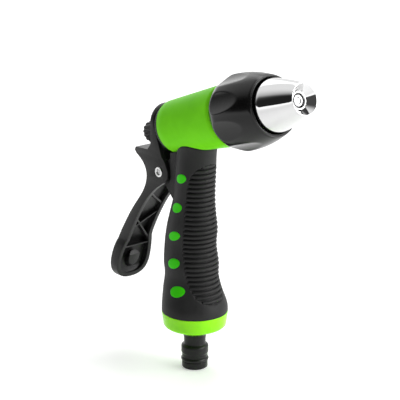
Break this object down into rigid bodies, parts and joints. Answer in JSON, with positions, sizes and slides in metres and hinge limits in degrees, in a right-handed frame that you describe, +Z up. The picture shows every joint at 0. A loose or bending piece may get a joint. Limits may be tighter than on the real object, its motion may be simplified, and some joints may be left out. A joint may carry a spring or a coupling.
{
  "type": "hose spray nozzle",
  "caption": "Pistol-grip hose spray nozzle with a rear lever, a twist collar that adjusts the spray, a flow knob and a click-in hose plug.",
  "frame": {"origin": "centre of the hose plug's nose face, on the plug and handle axis", "axes": "+Z up the handle from the hose plug, +X towards the spray end, +Y to the left side seen from behind the lever"},
  "size_m": [0.1539, 0.0428, 0.1853],
  "materials": {
    "painted_casting": "satin gloss lime green paint on a die casting",
    "black_plastic": "fine satin moulded nylon",
    "collar_plastic": "smooth satin moulded plastic",
    "grip_rubber": "matt overmoulded rubber, ribbed",
    "green_plastic": "moulded green plastic, satin",
    "ring_plastic": "glossy lime green plastic",
    "chrome": "bright polished chrome plate",
    "steel": "turned stainless steel",
    "brass": "turned brass",
    "seal_rubber": "smooth black nitrile rubber"
  },
  "bodies": {
    "body": {"body_casting": "painted_casting", "rear_cap": "black_plastic", "cap_o_ring": "seal_rubber", "spindle_o_ring": "seal_rubber", "spring_washer": "steel", "return_spring": "steel", "valve_seat": "brass", "nozzle_carrier": "brass", "carrier_o_ring": "seal_rubber", "tip_o_ring": "seal_rubber", "collar_retaining_ring": "steel", "pivot_pin": "chrome", "handle_core": "green_plastic", "grip_cover": "grip_rubber", "base_ring": "ring_plastic", "hose_plug": "black_plastic", "plug_o_ring": "seal_rubber", "plug_seal_washer": "seal_rubber"},
    "trigger": {"trigger": "black_plastic"},
    "spindle": {"spindle": "brass", "needle_head": "steel", "valve_lock_nut": "brass", "valve_disc": "brass", "valve_washer": "seal_rubber"},
    "flow_knob": {"flow_knob": "black_plastic", "knob_insert": "brass"},
    "spray_collar": {"spray_collar": "collar_plastic", "nozzle_tip": "chrome"}
  },
  "joints": [
    {"name": "trigger_pivot", "type": "hinge", "parent": "body", "child": "trigger", "pos_m": [-0.0206, 0, 0.1163], "axis": [0, -1, 0], "range_deg": [0, 18], "stiffness_Nm_per_rad": 1.5, "springref_deg": -8.59},
    {"name": "spindle_slide", "type": "slide", "parent": "body", "child": "spindle", "axis": [-0.9489, 0, -0.3156], "range_m": [0, 0.0075], "deforming": ["return_spring"]},
    {"name": "knob_turn", "type": "hinge", "parent": "spindle", "child": "flow_knob", "pos_m": [0, 0, 0.1479], "axis": [0.9489, 0, 0.3156], "range_deg": [0, 720]},
    {"name": "collar_turn", "type": "hinge", "parent": "body", "child": "spray_collar", "pos_m": [0, 0, 0.1479], "axis": [0.9489, 0, 0.3156], "range_deg": [-180, 360]}
  ],
  "couplings": [
    {"joint": "spindle_slide", "follows": "trigger_pivot", "m_per_rad": 0.02348}
  ]
}
